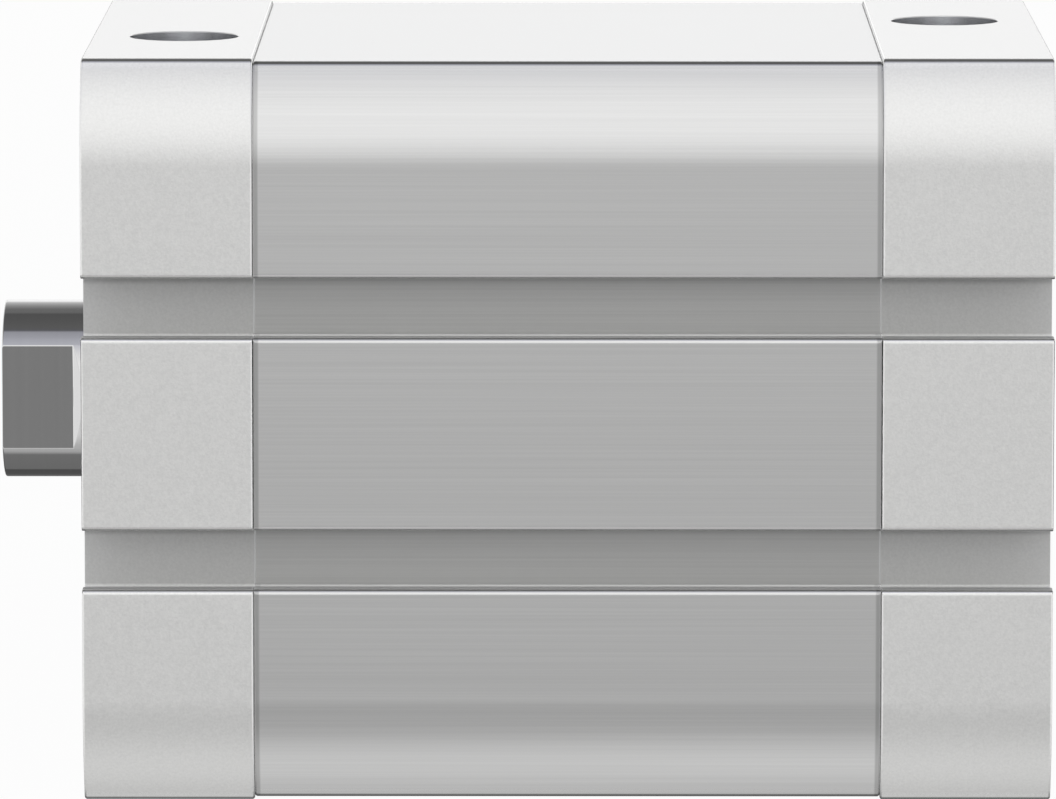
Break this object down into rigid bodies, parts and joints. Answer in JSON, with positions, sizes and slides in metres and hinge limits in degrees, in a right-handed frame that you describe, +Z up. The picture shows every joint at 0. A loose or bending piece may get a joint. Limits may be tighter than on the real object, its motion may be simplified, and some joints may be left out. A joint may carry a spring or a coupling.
{
  "type": "compact pneumatic cylinder",
  "caption": "Square compact air cylinder: slotted barrel between two ported caps, retracted round rod with female end thread and spanner flats.",
  "frame": {"origin": "centre of the front mounting face, on the rod's axis", "axes": "+X along the bore to the rear cap, so the rod extends to -X; +Z up through the ports; Y across"},
  "size_m": [0.0934, 0.0654, 0.0654],
  "materials": {
    "barrel_profile": "extruded, brushed along the axis and clear anodised",
    "cap_casting": "die-cast, fine matt blasted and clear coated",
    "screw_steel": "bright zinc plated",
    "seal_rubber": "matt nitrile rubber",
    "cushion": "matt polyurethane",
    "wiper": "smooth polyurethane",
    "piston_seal": "smooth polyurethane, greased",
    "bush_bronze": "sintered bronze",
    "rod_steel": "ground and polished stainless steel",
    "piston_alloy": "turned",
    "guide_plastic": "plain bearing plastic",
    "magnet": "plastic-bonded magnet",
    "nut_steel": "zinc plated"
  },
  "bodies": {
    "housing": {"barrel": "barrel_profile", "bearing_cap": "cap_casting", "end_cap": "cap_casting", "front_cap_screws": "screw_steel", "rear_cap_screws": "screw_steel", "front_barrel_oring": "seal_rubber", "rear_barrel_oring": "seal_rubber", "front_cushion_ring": "cushion", "rear_cushion_ring": "cushion", "rod_wiper_ring": "wiper", "rod_seal": "seal_rubber", "rod_bearing_bush": "bush_bronze"},
    "piston_rings": {"piston_guide_ring": "guide_plastic", "front_piston_seal": "piston_seal", "rear_piston_seal": "piston_seal"},
    "rod": {"piston_rod": "rod_steel", "piston_front_half": "piston_alloy", "piston_rear_half": "piston_alloy", "piston_rod_oring": "seal_rubber", "piston_magnet": "magnet", "piston_washer": "nut_steel", "piston_nut": "nut_steel"}
  },
  "joints": [
    {"name": "rod_slide", "type": "slide", "parent": "housing", "child": "piston_rings", "axis": [-1, 0, 0], "range_m": [0, 0.04]},
    {"name": "rod_turn", "type": "hinge", "parent": "piston_rings", "child": "rod", "pos_m": [0, 0, 0], "axis": [-1, 0, 0], "continuous": true}
  ]
}
